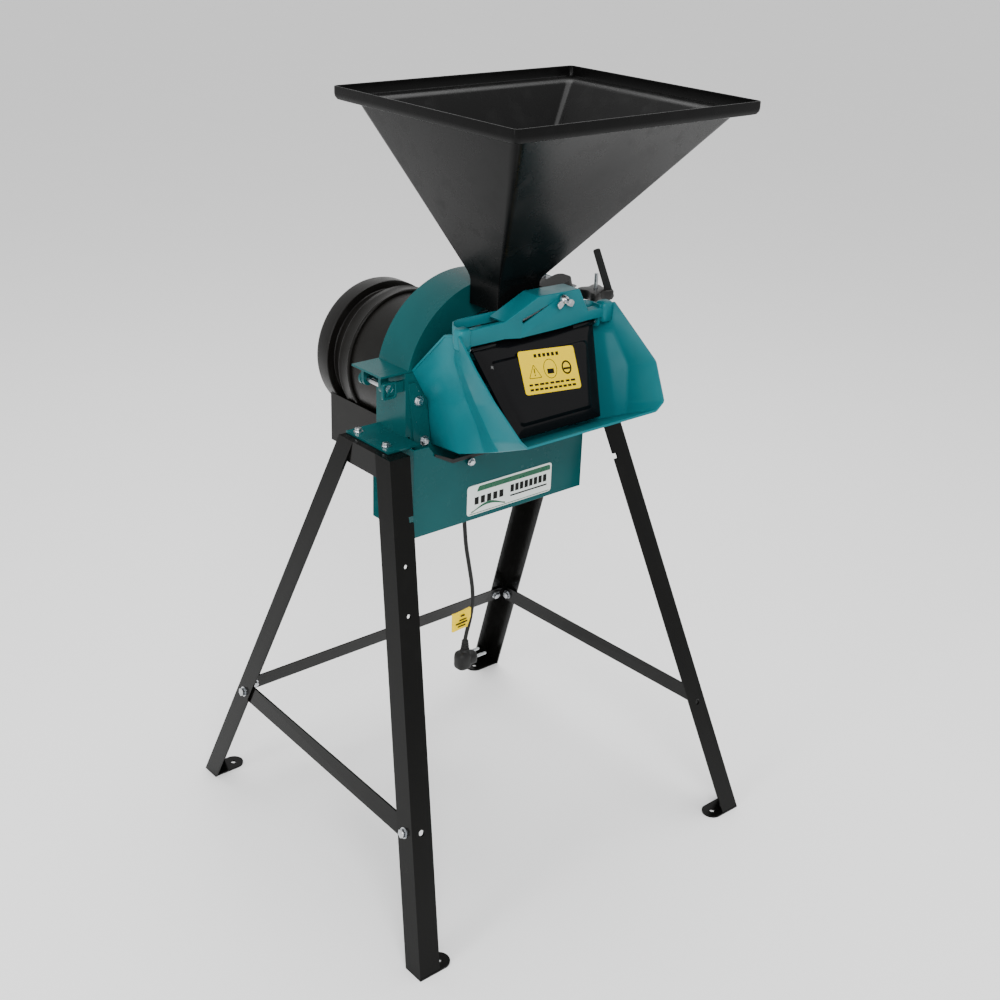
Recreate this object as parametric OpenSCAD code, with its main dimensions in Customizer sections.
// Small electric hammer mill on an angle-iron stand. Millimetres, +Z up, front faces -Y.
// The origin is on the floor, under the middle of the object's box.

/* [Stand] */
// Height of the stand's top face above the floor
stand_h = 686; // [660:1:720]
// Half distance between the outer corners of the legs at the top
top_x = 216; // [214:1:230]
// Half distance between the outer corners of the front feet
foot_x_front = 336; // [300:1:345]
// Half distance between the outer corners of the rear feet
foot_x_rear = 315; // [290:1:330]
// Distance of the feet in front of and behind the origin
foot_y = 320; // [290:1:330]
// Width of the angle-iron flanges
angle_w = 35; // [30:1:38]
// Thickness of the angle iron
angle_t = 3; // [2.5:0.5:4]

/* [Milling chamber] */
// Outer radius of the drum cover
drum_r = 149; // [147:1:152]
// Height of the rotor's axis
axis_z = 725; // [722:1:728]
// Inner radius of the screen
screen_r = 140; // [139:0.5:141]

/* [Rotor] */
// Radius of the circle on which the hammer pins sit
pin_circle = 75; // [72:1:76]
// Length of a hammer from its pin to its tip
hammer_reach = 62; // [55:1:62]

/* [Hopper] */
// Height of the hopper's rim above the floor
rim_z = 1159; // [1120:1:1180]
// Sideways offset of the rim from the neck
rim_x = 66; // [40:1:70]

/* [Hidden] */
$fn = 64;
teal = "#227a80";
gloss_black = "#262624";
matt_black = "#3a3a37";
motor_black = "#353331";
zinc = "#c4c6c8";
steel = "#8b8d8f";
sheet = 3;
fit_gap = 0.4;
run_gap = 0.08;
// Stand
top_y_front = -80;
top_y_rear = 44;
brace_z = 176;
brace_h = 30;
brace_t = 3;
brace_mid = brace_z + brace_h / 2;
brace_off = 1.6;
// Bolts of the side braces and of the rear brace, in from the legs' corners
side_in = 19;
cross_in = 26;
tab_len = 62;
tab_w = 34;
tab_hole_r = 4.5;
bolt_r = 4;
// Housing
wall_y0 = -26;
wall_y1 = 45;
back_y0 = 24;
back_y1 = 27;
split_z = 785;
drum_z = 752;
flange_x = 203;
flange_y0 = -58;
bolt_x = 191;
housing_bolt_y = [-37, 31];
// Cover hinge and latch
hinge_x = -175;
hinge_z = 767;
hinge_pin_r = 4;
latch_x = 222;
latch_y = -18;
latch_z = 766;
thread_r = 3;
lug_z = 817;
// Chute and flap
bar_y = -136;
flap_y = -125;
flap_z = 841;
flap_lean = 28;
flap_len = 135;
flap_top = 115;
flap_bottom = 78;
// Feed gate: it slides along a ramp that rises to the right
ramp = 17;
gate_z = 857;
slot_top = [42, 890];
slot_len = 72;
// Hopper
neck_hx = 38.5;
neck_y0 = -92;
neck_y1 = -28;
neck_bottom = 871;
cone_z = 909;
rim_hx = 224;
rim_hy = 194;
rim_y = -59;
rim_lip = 19;
rim_flange = 21;
shell = 3;
// Rotor, from front to back along Y
pin_r = 5;
hub_r = 22;
shaft_r = 12;
disc_r = 92;
front_disc = [-13, -8];
rear_disc = [14, 19];
knife_y = [-19, -13];
plane_a = [-6.5, 3.5];
plane_b = [-1.5, 8.5];
hammer_t = 4;
hammer_w = 20;
// Motor
body_r = 105;
band_r = 109;
groove_r = 98;
cowl_r = 111;
rocker_y = 242.5;
rocker_z = 604;
// Cord: one point for each ring of the tube
cord_d = 7;
cord_route = [
    [50, 82, 545], [50, 82, 525], [51, 82, 505], [52, 82, 485], [53, 82, 465], [55, 82, 445],
    [57, 82, 425], [60, 82, 405], [64, 82, 385], [68, 82, 365], [72, 82, 345], [75, 82, 325],
    [76, 82, 305], [74, 82, 285], [70, 82, 265], [65, 82, 248], [62, 82, 234]
];

// ---- helpers ---------------------------------------------------------------
// A flat outline given in X and Z, extruded along Y
module xz(y0, y1) {
    translate([0, y1, 0]) rotate([90, 0, 0]) linear_extrude(y1 - y0) children();
}
// A flat outline given in X and Y, extruded along Z
module xy(z0, z1) {
    translate([0, 0, z0]) linear_extrude(z1 - z0) children();
}
module block(a, b) {
    translate(a) cube(b - a);
}
// Round bar along Y
module rod_y(x, z, y0, y1, r) {
    translate([x, y1, z]) rotate([90, 0, 0]) cylinder(h = y1 - y0, r = r);
}
// Round bar along X
module rod_x(y, z, x0, x1, r) {
    translate([x0, y, z]) rotate([0, 90, 0]) cylinder(h = x1 - x0, r = r);
}
module rod_z(x, y, z0, z1, r) {
    translate([x, y, z0]) cylinder(h = z1 - z0, r = r);
}
module ring_y(x, z, y0, y1, r_out, r_in) {
    difference() {
        rod_y(x, z, y0, y1, r_out);
        rod_y(x, z, y0 - 1, y1 + 1, r_in);
    }
}
module hex_y(x, z, y0, y1, across) {
    translate([x, y1, z]) rotate([90, 0, 0]) cylinder(h = y1 - y0, r = across / sqrt(3), $fn = 6);
}
module hex_x(y, z, x0, x1, across) {
    translate([x0, y, z]) rotate([0, 90, 0]) cylinder(h = x1 - x0, r = across / sqrt(3), $fn = 6);
}
module hex_z(x, y, z0, z1, across) {
    translate([x, y, z0]) cylinder(h = z1 - z0, r = across / sqrt(3), $fn = 6);
}
module round_rect(a, b, r) {
    translate([a[0] + r, a[1]]) square([b[0] - a[0] - 2 * r, b[1] - a[1]]);
    translate([a[0], a[1] + r]) square([b[0] - a[0], b[1] - a[1] - 2 * r]);
    for (x = [a[0] + r, b[0] - r], y = [a[1] + r, b[1] - r]) translate([x, y]) circle(r);
}
function split_quads(quads) = [for (q = quads) each [[q[0], q[1], q[2]], [q[0], q[2], q[3]]]];
// Six-sided block between a front and a rear end. Each end lists its corners
// as right bottom, right top, left top and left bottom.
module hexa(front, rear) {
    quads = [[3, 2, 1, 0], [4, 5, 6, 7], [0, 1, 5, 4], [2, 6, 5, 1], [7, 6, 2, 3], [0, 4, 7, 3]];
    polyhedron(points = concat(front, rear), faces = split_quads(quads));
}
// Wall given as a grid of points on its outer side, in columns from back to
// front and each from bottom to top, with its inner side t towards -X
module grid_wall(columns, t) {
    n = len(columns);
    m = len(columns[0]);
    outer = [for (c = columns) each c];
    inner = [for (p = outer) p - [t, 0, 0]];
    cells = [for (i = [0:n - 2], j = [0:m - 2])
        [i * m + j, (i + 1) * m + j, (i + 1) * m + j + 1, i * m + j + 1]];
    outer_faces = split_quads(cells);
    inner_faces = [for (f = outer_faces) [f[2] + n * m, f[1] + n * m, f[0] + n * m]];
    loop = concat([for (j = [0:m - 1]) j], [for (i = [1:n - 1]) i * m + m - 1],
        [for (j = [m - 2:-1:0]) (n - 1) * m + j], [for (i = [n - 2:-1:1]) i * m]);
    edge = [for (k = [0:len(loop) - 1]) let (a = loop[k], b = loop[(k + 1) % len(loop)])
        [a, b, b + n * m, a + n * m]];
    polyhedron(points = concat(outer, inner),
        faces = concat(outer_faces, inner_faces, split_quads(edge)));
}
// Tube swept along a route, one ring of corners at each point
function unit(v) = v / norm(v);
function tangent(p, i) = unit(p[min(i + 1, len(p) - 1)] - p[max(i - 1, 0)]);
module tube(route, d, sides) {
    n = len(route);
    side_dir = [0, 1, 0];
    pts = [for (i = [0:n - 1]) let (t = tangent(route, i), u = unit(cross(t, side_dir)))
        for (k = [0:sides - 1])
            route[i] + d / 2 * (cos(360 * k / sides) * side_dir + sin(360 * k / sides) * u)];
    walls = [for (i = [0:n - 2], k = [0:sides - 1])
        [i * sides + k, i * sides + (k + 1) % sides,
            (i + 1) * sides + (k + 1) % sides, (i + 1) * sides + k]];
    start = [for (k = [sides - 1:-1:0]) k];
    end = [for (k = [0:sides - 1]) (n - 1) * sides + k];
    polyhedron(points = pts, faces = concat(split_quads(walls), [start], [end]));
}

// ---- stand -----------------------------------------------------------------
function along(a, b, z) = a + (b - a) * z / stand_h;
function front_x(z) = along(foot_x_front, top_x, z);
function rear_x(z) = along(foot_x_rear, top_x, z);
function front_y(z) = along(-foot_y, top_y_front, z);
function rear_y(z) = along(foot_y, top_y_rear, z);

// Leaning angle iron with its outer corner on the line from foot to head.
// One flange faces +X and the other faces -Y.
module leg(foot, head) {
    w = angle_w;
    t = angle_t;
    profile = [[0, 0], [w, 0], [w, t], [t, t], [t, w], [0, w]];
    base = [for (p = profile) [foot[0] - p[0], foot[1] + p[1], 0]];
    cap = [for (p = profile) [head[0] - p[0], head[1] + p[1], stand_h]];
    walls = [for (i = [0:5]) [i, (i + 1) % 6, (i + 1) % 6 + 6, i + 6]];
    polyhedron(points = concat(base, cap), faces = concat([[5, 4, 3, 2, 1, 0]],
        [[6, 7, 8, 9, 10, 11]], split_quads(walls)));
}
module foot_tab(x, y, inward) {
    y0 = min(y, y + inward * tab_w);
    difference() {
        union() {
            block([x - tab_len + tab_w / 2, y0, 0], [x - 1, y0 + tab_w, angle_t]);
            rod_z(x - tab_len + tab_w / 2, y0 + tab_w / 2, 0, angle_t, tab_w / 2);
        }
        rod_z(x - tab_len + tab_w / 2, y0 + tab_w / 2, -1, angle_t + 1, tab_hole_r);
    }
}
module side_frame(spare_holes) {
    color(gloss_black) difference() {
        union() {
            leg([foot_x_front, -foot_y], [top_x, top_y_front]);
            mirror([0, 1, 0]) leg([foot_x_rear, -foot_y], [top_x, -top_y_rear]);
            block([top_x - angle_w, top_y_front, stand_h - angle_t], [top_x, top_y_rear, stand_h]);
            block([top_x - angle_t, top_y_front, stand_h - angle_w], [top_x, top_y_rear, stand_h]);
            foot_tab(foot_x_front, -foot_y, 1);
            foot_tab(foot_x_rear, foot_y, -1);
        }
        for (z = spare_holes)
            rod_y(front_x(z) - 17, z, front_y(z) - 5, front_y(z) + 5, z < 300 ? 4.5 : 3.2);
        notch_z = 599;
        block([front_x(notch_z) - angle_w - 8, front_y(notch_z) - 5, notch_z],
            [front_x(notch_z) - angle_w + 7, front_y(notch_z) + 10, notch_z + 9]);
        rod_x(front_y(brace_mid) + side_in, brace_mid, top_x, foot_x_front + 5, bolt_r + 0.3);
        rod_x(rear_y(brace_mid) - side_in, brace_mid, top_x, foot_x_front + 5, bolt_r + 0.3);
        rod_y(rear_x(brace_mid) - cross_in, brace_mid, rear_y(brace_mid) - 10, rear_y(brace_mid) + 5,
            bolt_r + 0.3);
        for (y = housing_bolt_y) rod_z(bolt_x, y, stand_h - 10, stand_h + 5, 3.3);
    }
}
module side_frame_right() {
    side_frame([193]);
}
module side_frame_left() {
    mirror([1, 0, 0]) side_frame([193, 480, 545]);
}
module brace_right() {
    z0 = brace_z;
    z1 = brace_z + brace_h;
    out = angle_t + brace_off;
    in = out + brace_t;
    yf = front_y(brace_mid) + 9.5;
    yr = rear_y(brace_mid) - 10.5;
    color(gloss_black) difference() {
        hexa([[front_x(z0) - out, yf, z0], [front_x(z1) - out, yf, z1],
                [front_x(z1) - in, yf, z1], [front_x(z0) - in, yf, z0]],
            [[rear_x(z0) - out, yr, z0], [rear_x(z1) - out, yr, z1],
                [rear_x(z1) - in, yr, z1], [rear_x(z0) - in, yr, z0]]);
        rod_x(front_y(brace_mid) + side_in, brace_mid, 250, 330, bolt_r + 0.3);
        rod_x(rear_y(brace_mid) - side_in, brace_mid, 250, 330, bolt_r + 0.3);
    }
}
module brace_left() {
    mirror([1, 0, 0]) brace_right();
}
module brace_rear() {
    z0 = brace_z;
    z1 = brace_z + brace_h;
    out = angle_t + 0.3;
    in = out + brace_t;
    x = rear_x(z1) - 13;
    color(gloss_black) difference() {
        hexa([[x, rear_y(z0) - in, z0], [x, rear_y(z1) - in, z1],
                [-x, rear_y(z1) - in, z1], [-x, rear_y(z0) - in, z0]],
            [[x, rear_y(z0) - out, z0], [x, rear_y(z1) - out, z1],
                [-x, rear_y(z1) - out, z1], [-x, rear_y(z0) - out, z0]]);
        for (s = [-1, 1])
            rod_y(s * (rear_x(brace_mid) - cross_in), brace_mid, 200, 300, bolt_r + 0.3);
    }
}
module brace_bolts() {
    z = brace_mid;
    color(zinc) for (s = [-1, 1]) {
        mirror([s < 0 ? 1 : 0, 0, 0]) {
            yf = front_y(z) + side_in;
            xf = front_x(z);
            rod_x(yf, z, xf - 13, xf + 8, bolt_r);
            hex_x(yf, z, xf - 15.5, xf - 9.9, 13);
            hex_x(yf, z, xf + 1.5, xf + 7, 13);
            yr = rear_y(z) - side_in;
            xr = rear_x(z);
            rod_x(yr, z, xr - 14, xr + 8, bolt_r);
            hex_x(yr, z, xr - 16.5, xr - 10.9, 13);
            hex_x(yr, z, xr + 1.5, xr + 7, 13);
            xs = rear_x(z) - cross_in;
            rod_y(xs, z, rear_y(z) - 13, rear_y(z) + 9, bolt_r);
            hex_y(xs, z, rear_y(z) - 15, rear_y(z) - 9.6, 13);
            hex_y(xs, z, rear_y(z) + 3.2, rear_y(z) + 8.4, 13);
        }
    }
}

// ---- milling chamber ---------------------------------------------------------
module lower_outline(r, half) {
    translate([0, axis_z]) circle(r, $fn = 96);
    translate([-half, 688]) square([2 * half, split_z - 688]);
}
module below_split() {
    intersection() {
        children();
        translate([-400, 500]) square([800, split_z - 500]);
    }
}
module lower_housing() {
    color(teal) {
        difference() {
            union() {
                // Front and rear plates, open at the bottom, with a wall at each side
                xz(wall_y0, wall_y0 + sheet) below_split() lower_outline(146, drum_r);
                xz(back_y0, back_y1) below_split() lower_outline(146, drum_r);
                for (s = [-1, 1]) {
                    block([s > 0 ? drum_r - sheet : -drum_r, wall_y0, 686],
                        [s > 0 ? drum_r : -drum_r + sheet, wall_y1, split_z]);
                    block([s > 0 ? drum_r - 1 : -flange_x, flange_y0, 686],
                        [s > 0 ? flange_x : -drum_r + 1, wall_y1, 686 + sheet]);
                    // Rails that carry the screen's edges
                    block([s > 0 ? screen_r + 2 : -drum_r + 1, wall_y0 + 1, 716],
                        [s > 0 ? drum_r - 1 : -screen_r - 2, back_y0 + 1, 724]);
                }
                // Seat of the motor's flange
                ring_y(0, axis_z, back_y1 - 1, 33, 75, 55);
                // Ears of the cover's hinge
                for (y = [-20, 34]) xz(y, y + 5) {
                    translate([hinge_x, hinge_z]) circle(10);
                    translate([hinge_x, hinge_z - 10]) square([-drum_r + 1 - hinge_x, 16]);
                }
                // Ears of the latch bolt
                for (y = [latch_y - 9, latch_y + 5]) xz(y, y + 4) {
                    translate([latch_x, latch_z]) circle(9);
                    polygon([[drum_r - 1, 700], [latch_x, latch_z - 9], [latch_x, latch_z + 9],
                        [drum_r - 1, latch_z + 9]]);
                }
            }
            // Window that lets the chute's feed in
            block([-98, wall_y0 - 1, 674], [98, wall_y0 + sheet + 1, 781]);
            // Room for the cover's rear plate above the split
            block([-80, back_y0, split_z], [80, back_y1 + 0.4, 810]);
            // Shaft hole
            rod_y(0, axis_z, back_y0 - 1, 40, 18);
            rod_y(hinge_x, hinge_z, wall_y0 - 1, wall_y1, hinge_pin_r);
            rod_y(latch_x, latch_z, wall_y0 - 10, 10, hinge_pin_r);
            for (s = [-1, 1]) for (y = housing_bolt_y) rod_z(s * bolt_x, y, 680, 695, 3.3);
            for (s = [-1, 1]) for (p = [[128, 741], [117, 678]])
                rod_y(s * p[0], p[1], wall_y0 - 1, wall_y0 + sheet + 1, 3.3);
            for (a = [45:90:315])
                rod_y(65 * cos(a), axis_z + 65 * sin(a), back_y0 - 1, 40, 4.2);
        }
    }
}
module housing_bolts() {
    color(zinc) for (s = [-1, 1], y = housing_bolt_y) {
        x = s * bolt_x;
        rod_z(x, y, 676, 690, 3);
        hex_z(x, y, 689, 693, 10);
        hex_z(x, y, 677.8, 682.9, 10);
    }
}
module skirt() {
    color(teal) difference() {
        union() {
            block([-165, -68, 548], [165, -66, 686]);
            block([-165, 30, 548], [165, 32, 686]);
            for (s = [-1, 1]) block([s > 0 ? 163 : -165, -68, 548], [s > 0 ? 165 : -163, 32, 686]);
        }
        // Clearance for the chute's floor
        xz(-70, -60) polygon([[-150, 700], [-128, 672], [-96, 656], [96, 656], [128, 672],
            [150, 700]]);
        rod_y(0, axis_z, 25, 35, 78);
    }
}
module skirt_label() {
    color("#dfe6e2") xz(-68.8, -68) round_rect([-66, 556], [101, 604], 6);
}
module edge_trim() {
    color(gloss_black) xz(-71, -68) polygon([[-129, 673], [-96, 657.5], [96, 657.5], [129, 673],
        [129, 669], [96.5, 651], [-96.5, 651], [-129, 669]]);
}
module screen() {
    color(steel) difference() {
        ring_y(0, axis_z, wall_y0 + sheet + 0.5, back_y0 - 0.5, screen_r + 1.5, screen_r);
        block([-200, -60, axis_z], [200, 60, axis_z + 200]);
    }
}
module upper_outline(r) {
    translate([0, drum_z]) circle(r, $fn = 128);
}
module above_split() {
    intersection() {
        children();
        translate([-400, split_z + 0.5]) square([800, 300]);
    }
}
module upper_cover() {
    knuckles = [[-14, -8], [27, 33]];
    color(teal) difference() {
        union() {
            xz(wall_y0, wall_y1) above_split() difference() {
                upper_outline(drum_r);
                upper_outline(drum_r - sheet);
            }
            xz(wall_y0, wall_y0 + sheet) above_split() upper_outline(drum_r - 1);
            xz(back_y0, back_y1) above_split() upper_outline(drum_r - 1);
            // Flange over the hinge
            block([-192, wall_y0, split_z + 0.5], [-144, wall_y1, split_z + 0.5 + sheet]);
            for (k = knuckles) xz(k[0], k[1]) {
                translate([hinge_x, hinge_z]) circle(9);
                translate([hinge_x - 9, hinge_z]) square([14, split_z + 1 - hinge_z]);
            }
            // Lug that the star knob presses on
            xz(wall_y0, latch_y + 10) polygon([[60, 886], [103, 893], [128, 882], [160, 846],
                [190, 824], [206, lug_z + 3], [latch_x + 8, lug_z + 3], [latch_x + 8, lug_z - 1], [192, 813],
                [146, 796], [127.7, 825.7]]);
        }
        // Open fork for the latch bolt
        block([latch_x - 5, latch_y - 3.6, 780], [latch_x + 20, latch_y + 3.6, 860]);
        // Hollow under the lug
        xz(wall_y0 + sheet, latch_y + 7) polygon([[101, 868], [127, 836], [144, 808],
            [186, 818], [156, 842], [126, 876], [106, 886]]);
        rod_y(hinge_x, hinge_z, wall_y0 - 1, wall_y1, hinge_pin_r + run_gap);
    }
}
module cover_hinge_pin() {
    color(zinc) {
        rod_y(hinge_x, hinge_z, -23, 42, hinge_pin_r);
        rod_y(hinge_x, hinge_z, -23, -20.3, 6.5);
        rod_y(hinge_x, hinge_z, 39.3, 42, 6.5);
    }
}
module latch_bracket() {
    // Doubler that stiffens the latch ears
    color(teal) difference() {
        xz(latch_y - 5, latch_y + 5) polygon([[drum_r, 705], [latch_x - 16, latch_z - 16],
            [latch_x - 16, latch_z - 10], [drum_r, 715]]);
        rod_y(latch_x, latch_z, -60, 10, hinge_pin_r + 8);
    }
}
module latch_pin() {
    color(zinc) {
        rod_y(latch_x, latch_z, latch_y - 12, latch_y + 12, hinge_pin_r);
        rod_y(latch_x, latch_z, latch_y - 12, latch_y - 9.3, 6.5);
        rod_y(latch_x, latch_z, latch_y + 9.3, latch_y + 12, 6.5);
    }
}
module latch_bolt() {
    color(zinc) difference() {
        union() {
            rod_y(latch_x, latch_z, latch_y - 4, latch_y + 4, 8);
            rod_z(latch_x, latch_y, latch_z + 4, 872, thread_r);
        }
        rod_y(latch_x, latch_z, latch_y - 6, latch_y + 6, hinge_pin_r + run_gap);
    }
}
// Star knob: a hub, four lobes, and a long cranked arm to turn it by
module latch_knob() {
    color(matt_black) difference() {
        union() {
            rod_z(latch_x, latch_y, 832, 848, 13);
            for (a = [0:90:270]) translate([latch_x, latch_y, 832]) rotate(a + 45) {
                translate([19.5, 0, 0]) cylinder(h = 16, r = 9);
                translate([0, -6.5, 0]) cube([20, 13, 16]);
            }
            rod_z(latch_x, latch_y, lug_z + 4, 833, 10.5);
            hexa([[latch_x + 20, latch_y - 20, 838], [latch_x + 3, latch_y - 4, 910],
                    [latch_x - 7, latch_y - 7, 909], [latch_x + 9, latch_y - 24, 836]],
                [[latch_x + 23, latch_y - 15, 840], [latch_x + 6, latch_y + 1, 912],
                    [latch_x - 4, latch_y - 2, 911], [latch_x + 12, latch_y - 19, 838]]);
        }
        rod_z(latch_x, latch_y, 800, 880, thread_r + run_gap);
    }
}

// ---- chute, flap and feed gate --------------------------------------------------
// Right-hand wall, from the drum to the front rim
chute_wall = [
    [[103, -27, 668], [108, -27, 706], [111, -27, 738], [125, -27, 763], [139, -27, 789]],
    [[109, -98, 677], [110, -92, 712], [113, -90, 750], [128, -88, 803], [139, -98, 859]],
    [[111, -156, 698], [113, -138, 735], [118, -118, 771], [130, -108, 825], [139, -126, 866]],
    [[116, -200, 717], [123, -194, 735], [138, -176, 784], [139, -142, 826], [142, -133, 868]],
    [[122, -258, 741], [136, -259, 754], [152, -222, 801], [150, -178, 835], [146, -137, 869]]
];
module chute() {
    color(teal) difference() {
        union() {
            grid_wall(chute_wall, sheet);
            mirror([1, 0, 0]) grid_wall(chute_wall, sheet);
            // Floor, from the drum to the front lip
            for (i = [0:3]) {
                a = chute_wall[i][0];
                b = chute_wall[i + 1][0];
                up = [0, 0, sheet];
                flip = [-1, 1, 1];
                ends = [for (p = [b, a]) let (q = [p[0] * flip[0], p[1], p[2]])
                    [p, p + up, q + up, q]];
                hexa(ends[0], ends[1]);
            }
            // Bar over the flap, with the hump of the feed gate on it
            block([-141, bar_y, 850], [141, bar_y + sheet, 872]);
            block([-141, bar_y, 869], [-61, bar_y + 12, 872]);
            block([89, bar_y, 869], [141, bar_y + 12, 872]);
            xz(bar_y, bar_y + 34) difference() {
                polygon([[-62, 869], [-59, 874], [1, 901], [75, 899], [88, 874], [90, 869]]);
                polygon([[-56, 869], [-56, 872], [2, 898], [73, 896], [84, 873], [85, 869]]);
            }
            xz(bar_y, bar_y + sheet) polygon([[-59, 871], [1, 899], [75, 897], [88, 871]]);
            // Deck behind the bar, and the lip round the hopper's neck
            block([-130, -120, 864], [-112, -84, 867]);
            block([112, -120, 864], [130, -84, 867]);
            for (s = [-1, 1]) block([s > 0 ? 128 : -137.5, -134, 848], [s > 0 ? 137.5 : -128, -84, 867]);
            block([-130, -90, 850], [-40, -87, 872]);
            block([40, -90, 840], [130, -87, 856]);
            // Ears of the flap's hinge
            for (s = [-1, 1]) block([s > 0 ? flap_top + 3 : -flap_top - 9, flap_y - 8, flap_z - 8],
                [s > 0 ? flap_top + 9 : -flap_top - 3, flap_y + 6, 851]);
            for (s = [-1, 1]) block([s > 0 ? flap_top + 3 : -134, flap_y - 4, 849],
                [s > 0 ? 134 : -flap_top - 3, flap_y + 4, 853]);
        }
        // Slot that the gate's bolt slides in
        for (i = [0, 1]) translate([slot_top[0], 0, slot_top[1]]) rotate([0, -ramp, 0])
            rod_y(-i * slot_len, 0, bar_y - 1, bar_y + sheet + 1, 3.4);
        translate([slot_top[0], 0, slot_top[1]]) rotate([0, -ramp, 0])
            block([-slot_len, bar_y - 1, -3.4], [0, bar_y + sheet + 1, 3.4]);
        for (s = [-1, 1]) rod_x(flap_y, flap_z, s > 0 ? 110 : -130, s > 0 ? 130 : -110, 2.5);
    }
}
module chute_straps() {
    color(teal) for (s = [-1, 1]) mirror([s > 0 ? 0 : 1, 0, 0]) difference() {
        xz(wall_y0 - sheet, wall_y0) {
            polygon([[113, 770], [145, 770], [134, 664], [103, 664]]);
            translate([118.5, 664]) circle(15.6);
        }
        // The strap clears the chute's own wall
        hexa([[113, -40, 726], [146, -40, 794], [90, -40, 794], [90, -40, 726]],
            [[113, -20, 726], [146, -20, 794], [90, -20, 794], [90, -20, 726]]);
        block([80, -40, 640], [104.2, -20, 668]);
        hexa([[104.5, -40, 667], [113.2, -40, 742], [80, -40, 742], [80, -40, 667]],
            [[104.5, -20, 667], [113.2, -20, 742], [80, -20, 742], [80, -20, 667]]);
        for (p = [[128, 741], [117, 678]]) rod_y(p[0], p[1], -35, -20, 3.3);
    }
}
module strap_bolts() {
    color(zinc) for (s = [-1, 1], p = [[128, 741], [117, 678]]) {
        rod_y(s * p[0], p[1], -33, -19.6, 3);
        hex_y(s * p[0], p[1], -33.5, -29, 10);
        hex_y(s * p[0], p[1], -23, -19.6, 10);
    }
}
module flap_frame() {
    translate([0, flap_y, flap_z]) rotate([-flap_lean, 0, 0]) children();
}
// The flap hangs from its hinge in its own plane: X across, Z down the panel
module flap() {
    color(gloss_black) flap_frame() difference() {
        union() {
            xz(-2, 2) polygon([[-flap_top, -5], [flap_top, -5], [flap_bottom, -flap_len],
                [-flap_bottom, -flap_len]]);
            xz(-5, -1) polygon([[-92, -24], [92, -24], [66, -118], [-66, -118]]);
            for (s = [-1, 1]) {
                rod_x(0, 0, s > 0 ? 70 : -flap_top, s > 0 ? flap_top : -70, 5);
                block([s > 0 ? 70 : -flap_top, -2, -7], [s > 0 ? flap_top : -70, 2, 0]);
            }
        }
        rod_x(0, 0, -130, 130, 2.5 + run_gap);
    }
}
module flap_pins() {
    color(zinc) for (s = [-1, 1]) {
        rod_x(flap_y, flap_z, s > 0 ? 74 : -126, s > 0 ? 126 : -74, 2.5);
        rod_x(flap_y, flap_z, s > 0 ? 124.2 : -126.5, s > 0 ? 126.5 : -124.2, 4.5);
    }
}
module flap_label() {
    color("#e8d443") flap_frame() translate([7, 0, -53]) rotate([0, 5, 0])
        xz(-5.7, -5) round_rect([-51, -31], [51, 31], 4);
}
module on_ramp() {
    translate([0, 0, gate_z]) rotate([0, -ramp, 0]) children();
}
// A ledge in front and a groove behind carry the gate's edges
module gate_rails() {
    // Post that carries the rails on the chute's lip
    color(steel) block([-46, -90, 838], [-40, -87, 850]);
    color(steel) on_ramp() {
        block([-40, -97, -4.5], [108, -91, -2.4]);
        block([-46, -97, -6.5], [-38, -27.2, -2.4]);
        difference() {
            block([-40, -33, -4.5], [108, -27.2, 1.9]);
            block([-41, -34, -2.4], [109, -29, 0.4]);
        }
    }
}
// Dust cap over the place where the open gate parks
module gate_cover() {
    color(matt_black) on_ramp() {
        xy(0.6, 14) round_rect([66, -96], [110, -62], 12);
        block([78, -66, 1.9], [98, -31, 4.5]);
    }
}
module feed_gate() {
    x = slot_top[0];
    z = slot_top[1];
    color(steel) {
        on_ramp() {
            block([38.5, -94.8, -2], [112, -29.4, 0]);
            block([38.5, -106, -2], [55, -92, 0]);
        }
        difference() {
            xz(-106, -103) polygon([[x - 5, 867], [x + 9, 871], [x + 9, z + 5], [x - 5, z + 5]]);
            rod_y(x, z, -110, -100, thread_r);
        }
    }
}
module gate_bolt() {
    x = slot_top[0];
    z = slot_top[1];
    color(zinc) {
        rod_y(x, z, -152, -103, thread_r);
        rod_y(x, z, -103, -99, 6.3);
    }
}
module wing_nut() {
    x = slot_top[0];
    z = slot_top[1];
    color(zinc) difference() {
        union() {
            rod_y(x, z, -145, -137, 6);
            for (s = [-1, 1]) translate([x, -141, z]) rotate([0, 30 * s, 0])
                mirror([s < 0 ? 1 : 0, 0, 0]) hexa([[15, -5, -3], [15, -5, 7], [4, -2, 4],
                    [4, -2, -4]], [[15, -2, -3], [15, -2, 7], [4, 1, 4], [4, 1, -4]]);
        }
        rod_y(x, z, -160, -120, 3 + run_gap);
    }
}
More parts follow.
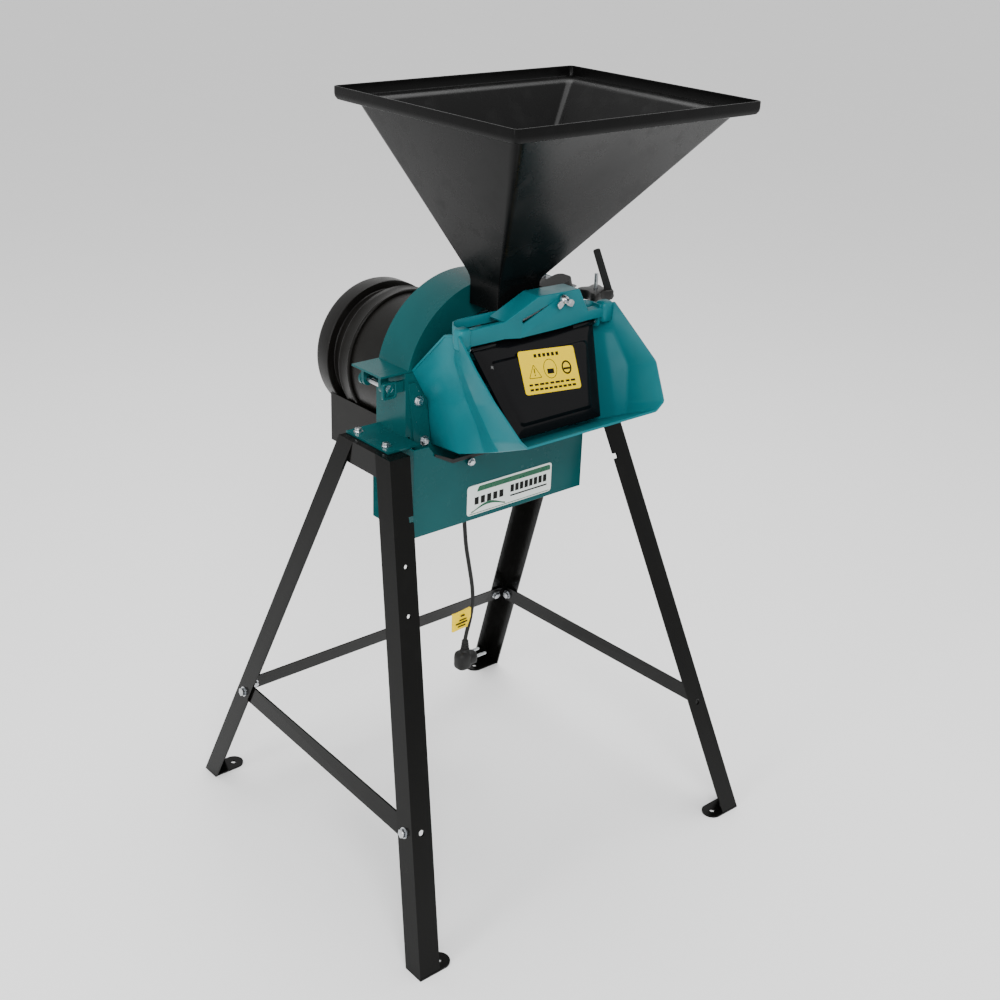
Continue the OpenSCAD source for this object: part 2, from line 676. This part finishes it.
// ---- hopper ---------------------------------------------------------------------
// Rectangular ring section: half sizes, centre and height
function corner_ring(cx, cy, hx, hy, z) = [[cx + hx, cy - hy, z], [cx + hx, cy + hy, z],
    [cx - hx, cy + hy, z], [cx - hx, cy - hy, z]];
module frustum(low, high) {
    quads = [[0, 4, 5, 1], [1, 5, 6, 2], [2, 6, 7, 3], [3, 7, 4, 0], [3, 2, 1, 0], [4, 7, 6, 5]];
    polyhedron(points = concat(low, high), faces = [for (q = split_quads(quads)) [q[2], q[1], q[0]]]);
}
module hopper() {
    neck_cy = (neck_y0 + neck_y1) / 2;
    neck_hy = (neck_y1 - neck_y0) / 2;
    under = rim_z - rim_lip;
    ix = rim_hx - rim_flange;
    iy = rim_hy - rim_flange;
    color(matt_black) difference() {
        union() {
            block([-neck_hx, neck_y0, neck_bottom], [neck_hx, neck_y1, cone_z]);
            frustum(corner_ring(0, neck_cy, neck_hx, neck_hy, cone_z),
                corner_ring(rim_x, rim_y, ix, iy, under + shell));
            // Flange at the top of the cone, with its outer edge turned up
            difference() {
                block([rim_x - rim_hx, rim_y - rim_hy, under], [rim_x + rim_hx, rim_y + rim_hy, rim_z]);
                block([rim_x - rim_hx + shell, rim_y - rim_hy + shell, under + shell],
                    [rim_x + rim_hx - shell, rim_y + rim_hy - shell, rim_z + 1]);
            }
        }
        block([-neck_hx + shell, neck_y0 + shell, neck_bottom - 1],
            [neck_hx - shell, neck_y1 - shell, cone_z + 1]);
        frustum(corner_ring(0, neck_cy, neck_hx - shell, neck_hy - shell, cone_z),
            corner_ring(rim_x, rim_y, ix - shell, iy - shell, under + shell + 1));
    }
}

// ---- rotor ------------------------------------------------------------------------
pin_angles = [45, 135, 225, 315];
function pin_x(i) = pin_circle * cos(pin_angles[i]);
function pin_z(i) = axis_z + pin_circle * sin(pin_angles[i]);
module rotor_shaft() {
    color(steel) {
        rod_y(0, axis_z, -21, -13, 8);
        rod_y(0, axis_z, -13, 40, shaft_r);
        rod_y(0, axis_z, 40, 215, 14);
        rod_y(0, axis_z, 215, 252, 9);
    }
}
module rotor_hub() {
    color(steel) ring_y(0, axis_z, front_disc[1], rear_disc[0], hub_r, shaft_r);
}
module rotor_discs() {
    color(steel) for (d = [front_disc, rear_disc]) difference() {
        ring_y(0, axis_z, d[0], d[1], disc_r, shaft_r);
        for (i = [0:3]) rod_y(pin_x(i), pin_z(i), d[0] - 1, d[1] + 1, pin_r);
        for (x = [-68, -42, 42, 68]) rod_y(x, axis_z, d[0] - 1, d[1] + 1, 4);
    }
}
module knives() {
    color(zinc) for (s = [-1, 1]) difference() {
        xz(knife_y[0], knife_y[1]) polygon([[s * 30, axis_z - 15], [s * 124, axis_z - 15],
            [s * 124, axis_z + 11], [s * 118, axis_z + 15], [s * 30, axis_z + 15]]);
        for (x = [42, 68]) {
            rod_y(s * x, axis_z, -30, 0, 4);
            rod_y(s * x, axis_z, -30, knife_y[0] + 3.5, 7.2);
        }
    }
}
module knife_bolts() {
    color(steel) for (s = [-1, 1], x = [42, 68]) {
        rod_y(s * x, axis_z, knife_y[0] + 0.2, -8, 4);
        rod_y(s * x, axis_z, knife_y[0] + 0.2, knife_y[0] + 3.5, 7);
    }
}
module hub_nut() {
    color(zinc) difference() {
        hex_y(0, axis_z, -20, -13, 24);
        rod_y(0, axis_z, -30, -5, 8);
    }
}
module hammer_pins() {
    color(zinc) for (i = [0:3]) {
        rod_y(pin_x(i), pin_z(i), front_disc[0] - 1.5, rear_disc[1], pin_r);
        rod_y(pin_x(i), pin_z(i), rear_disc[1], rear_disc[1] + 2, 7.5);
    }
}
module pin_spacers() {
    a_gaps = [[-2.2, 3.2], [7.8, 13.8]];
    b_gaps = [[-7.8, -1.8], [2.8, 8.2]];
    color(steel) for (i = [0:3], g = i % 2 == 0 ? a_gaps : b_gaps)
        ring_y(pin_x(i), pin_z(i), g[0], g[1], 8, pin_r);
}
// Two flat bars on one pin. They hang straight down from it at rest.
module hammer(i) {
    half = hammer_w / 2;
    color(steel) for (y = i % 2 == 0 ? plane_a : plane_b) difference() {
        union() {
            rod_y(pin_x(i), pin_z(i), y, y + hammer_t, half);
            block([pin_x(i) - half, y, pin_z(i) - hammer_reach],
                [pin_x(i) + half, y + hammer_t, pin_z(i)]);
        }
        rod_y(pin_x(i), pin_z(i), y - 1, y + hammer_t + 1, pin_r + run_gap);
    }
}

// ---- motor ------------------------------------------------------------------------
module motor_flange() {
    color(motor_black) difference() {
        rod_y(0, axis_z, 33, 45, 100);
        rod_y(0, axis_z, 30, 50, 16);
        for (a = [45:90:315])
            rod_y(65 * cos(a), axis_z + 65 * sin(a), 30, 50, 4.2);
    }
}
module motor_bolts() {
    color(zinc) for (a = [45:90:315]) {
        rod_y(65 * cos(a), axis_z + 65 * sin(a), 22, 45, 4);
        hex_y(65 * cos(a), axis_z + 65 * sin(a), 22, 24, 13);
    }
}
module motor_shell() {
    color(motor_black) difference() {
        rod_y(0, axis_z, 45, 172, body_r);
        rod_y(0, axis_z, 53, 180, body_r - 7);
        rod_y(0, axis_z, 40, 60, 16);
        // Seat of the front bearing
        rod_y(0, axis_z, 46, 60, 32);
    }
}
module motor_band() {
    color(motor_black) difference() {
        union() {
            rod_y(0, axis_z, 172.6, 182, band_r - 2);
            rod_y(0, axis_z, 182, 194, band_r + 1);
            rod_y(0, axis_z, 194, 201, band_r - 2);
            rod_y(0, axis_z, 201, 228, groove_r);
        }
        rod_y(0, axis_z, 170, 196, 91);
        // Seat of the rear bearing
        rod_y(0, axis_z, 190, 214, 32);
        rod_y(0, axis_z, 210, 230, 16);
    }
}
module motor_cowl() {
    color(motor_black) difference() {
        union() {
            rod_y(0, axis_z, 228, 262, cowl_r);
            rod_y(0, axis_z, 262, 267, cowl_r - 6);
        }
        rod_y(0, axis_z, 231, 259, cowl_r - 4);
        rod_y(0, axis_z, 227, 232, 93);
        // Air slots in the rear face
        for (r = [30:14:86]) ring_y(0, axis_z, 250, 270, r + 4, r);
    }
    color(motor_black) for (a = [0:60:300]) translate([0, 0, axis_z]) rotate([0, a, 0])
        block([12, 262, -4], [100, 266, 4]);
}
module stator() {
    color(steel) ring_y(0, axis_z, 70, 150, 97.5, 60);
    color("#b06a34") for (y = [[56, 69.5], [150.5, 164]]) ring_y(0, axis_z, y[0], y[1], 88, 64);
}
module rotor_core() {
    color(steel) ring_y(0, axis_z, 72, 148, 59.4, 14);
}
module bearings() {
    color(zinc) {
        ring_y(0, axis_z, 46, 60, 32, 14 + run_gap);
        ring_y(0, axis_z, 200, 214, 32, 14 + run_gap);
    }
}
module cooling_fan() {
    color(matt_black) {
        ring_y(0, axis_z, 232, 250, 18, 9);
        ring_y(0, axis_z, 231.5, 234.5, 92, 17);
        for (a = [0:45:315]) translate([0, 0, axis_z]) rotate([0, a, 0])
            block([17, 234, -1.5], [90, 250, 1.5]);
    }
}
module terminal_box() {
    color(motor_black) difference() {
        block([-95, 62, 585], [95, 244, 666]);
        block([-92, 65, 588], [92, 241, 680]);
        rod_y(0, axis_z, 50, 175, body_r + fit_gap);
        rod_y(0, axis_z, 172, 260, cowl_r + fit_gap);
        rod_z(50, 82, 570, 600, 6.5);
        block([-50.2, 240, 597.8], [-27.8, 250, 610.2]);
        rod_x(rocker_y, rocker_z, -53.3, -24.7, 1 + run_gap);
    }
}
module capacitor() {
    color("#d8d8d4") rod_y(-70, 606, 90, 170, 16);
}
module rocker_switch() {
    color(gloss_black) {
        xz(241.5, 247) round_rect([-49.5, 598.5], [-28.5, 609.5], 1);
        // Pivots in the box's wall
        rod_x(rocker_y, rocker_z, -53, -25, 1);
    }
}
module cord_gland() {
    color(gloss_black) difference() {
        union() {
            rod_z(50, 82, 583, 594, 6.5);
            rod_z(50, 82, 579, 585, 11);
            translate([50, 82, 545]) cylinder(h = 34.5, r1 = 5.2, r2 = 8.5);
        }
        rod_z(50, 82, 540, 600, cord_d / 2);
    }
}
module cord() {
    color(gloss_black) tube(cord_route, cord_d, 8);
}
module plug() {
    color(gloss_black) {
        translate([62, 82, 211]) cylinder(h = 23, r1 = 7.5, r2 = 4.5);
        xz(68, 96) round_rect([42, 181], [82, 212], 6);
    }
}
module plug_pins() {
    color(zinc) for (p = [[72.5, 199], [91.5, 199], [82, 192]]) rod_x(p[0], p[1], 82, 101, 2.4);
}
module cord_tag() {
    color("#e8d443") block([34, 81.2, 258], [72, 82.8, 292]);
}

// ---- assembly ---------------------------------------------------------------------
side_frame_left();
side_frame_right();
brace_left();
brace_right();
brace_rear();
brace_bolts();
lower_housing();
housing_bolts();
skirt();
skirt_label();
edge_trim();
screen();
upper_cover();
cover_hinge_pin();
latch_bracket();
latch_pin();
latch_bolt();
latch_knob();
chute();
chute_straps();
strap_bolts();
flap();
flap_pins();
flap_label();
gate_rails();
gate_cover();
feed_gate();
gate_bolt();
wing_nut();
hopper();
rotor_shaft();
rotor_hub();
rotor_discs();
knives();
knife_bolts();
hub_nut();
hammer_pins();
pin_spacers();
hammer(0);  // hammer_1
hammer(1);  // hammer_2
hammer(2);  // hammer_3
hammer(3);  // hammer_4
motor_flange();
motor_shell();
motor_band();
motor_cowl();
motor_bolts();
stator();
rotor_core();
bearings();
cooling_fan();
terminal_box();
capacitor();
rocker_switch();
cord_gland();
cord();
plug();
plug_pins();
cord_tag();
